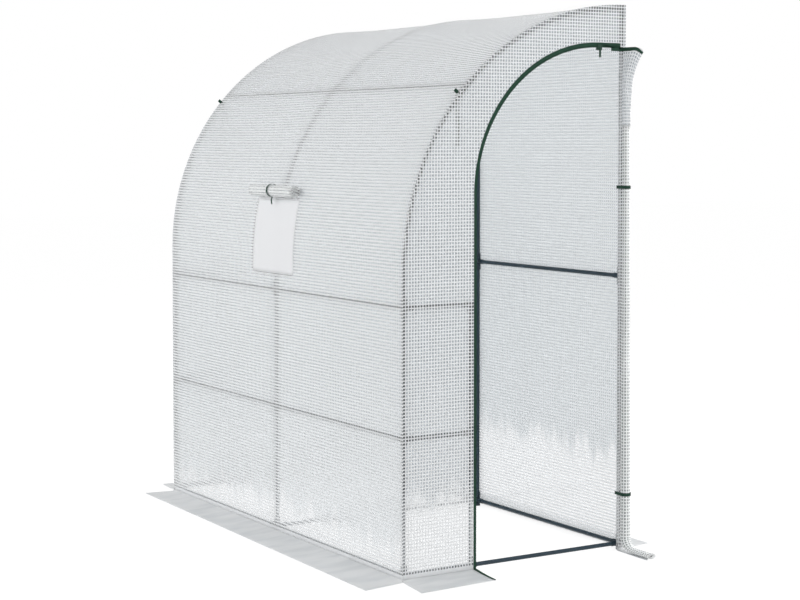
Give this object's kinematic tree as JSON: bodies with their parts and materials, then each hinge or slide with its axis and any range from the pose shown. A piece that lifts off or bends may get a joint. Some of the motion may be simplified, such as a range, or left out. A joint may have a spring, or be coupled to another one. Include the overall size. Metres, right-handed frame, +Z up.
{
  "type": "walk-in greenhouse",
  "caption": "Small walk-in greenhouse with a quarter-round roof: steel tube frame under a clear reinforced film cover with ground skirts, a roll-up zip door in one end and a roll-up window.",
  "frame": {"origin": "on the ground, under the middle of all that lies on it, skirts and door roll included", "axes": "+X along the length towards the door end, -Y to the front, +Z up"},
  "size_m": [2.368, 1.35, 2.135],
  "materials": {
    "tube": "satin",
    "fitting": "matte",
    "film": "satin",
    "screen": "matte",
    "strap": "matte",
    "zip_tape": "matte",
    "zip_metal": "satin"
  },
  "bodies": {
    "frame": {"near_front_leg": "tube", "near_lower_arch": "tube", "near_upper_arch": "tube", "near_lower_back_post": "tube", "near_upper_back_post": "tube", "middle_front_leg": "tube", "middle_lower_arch": "tube", "middle_upper_arch": "tube", "middle_lower_back_post": "tube", "middle_upper_back_post": "tube", "far_front_leg": "tube", "far_lower_arch": "tube", "far_upper_arch": "tube", "far_lower_back_post": "tube", "far_upper_back_post": "tube", "front_base_rails": "tube", "back_base_rails": "tube", "lower_purlins": "tube", "upper_purlins": "tube", "roof_purlins": "tube", "back_rails": "tube", "ridge_rails": "tube", "near_base_rail": "tube", "middle_base_rail": "tube", "far_base_rail": "tube", "near_lower_brace": "tube", "near_upper_brace": "tube", "near_door_post": "tube", "far_lower_brace": "tube", "far_upper_brace": "tube", "far_door_post": "tube", "base_corner_fittings": "fitting", "base_middle_fittings": "fitting", "lower_purlin_fittings": "fitting", "upper_purlin_fittings": "fitting", "roof_purlin_fittings": "fitting", "ridge_fittings": "fitting", "back_rail_fittings": "fitting", "door_post_fittings": "fitting", "front_roof_sheet": "film", "window_screen": "screen", "back_sheet": "film", "near_end_sheet": "film", "far_end_sheet": "film", "front_skirt": "film", "back_skirt": "film", "near_end_skirt": "film", "far_end_skirt": "film", "door_zip_tape": "zip_tape", "door_flap_sheet": "film", "door_flap_top": "film", "door_ties": "strap", "window_flap_sheet": "film", "window_tie": "strap", "cover_ties": "strap"},
    "door_roll": {"door_roll": "film"},
    "window_roll": {"window_roll": "film"},
    "zip_slider": {"zip_slider": "zip_metal"},
    "zip_pull": {"zip_pull": "zip_metal"}
  },
  "joints": [
    {"name": "door_unroll", "type": "slide", "parent": "frame", "child": "door_roll", "axis": [0, -1, 0], "range_m": [0, 0.605], "deforming": ["door_flap_sheet", "door_flap_top", "door_ties"]},
    {"name": "window_unroll", "type": "hinge", "parent": "frame", "child": "window_roll", "pos_m": [0, 0.4978, 1.1272], "axis": [1, 0, 0], "range_deg": [0, 19.9], "deforming": ["window_flap_sheet", "window_tie"]},
    {"name": "zip_run", "type": "hinge", "parent": "frame", "child": "zip_slider", "pos_m": [0.981, 0.379, 1.399], "axis": [1, 0, 0], "range_deg": [0, 90]},
    {"name": "zip_pull_swing", "type": "hinge", "parent": "zip_slider", "child": "zip_pull", "pos_m": [0.9865, 0.379, 1.9625], "axis": [1, 0, 0], "range_deg": [-95, 95]}
  ]
}
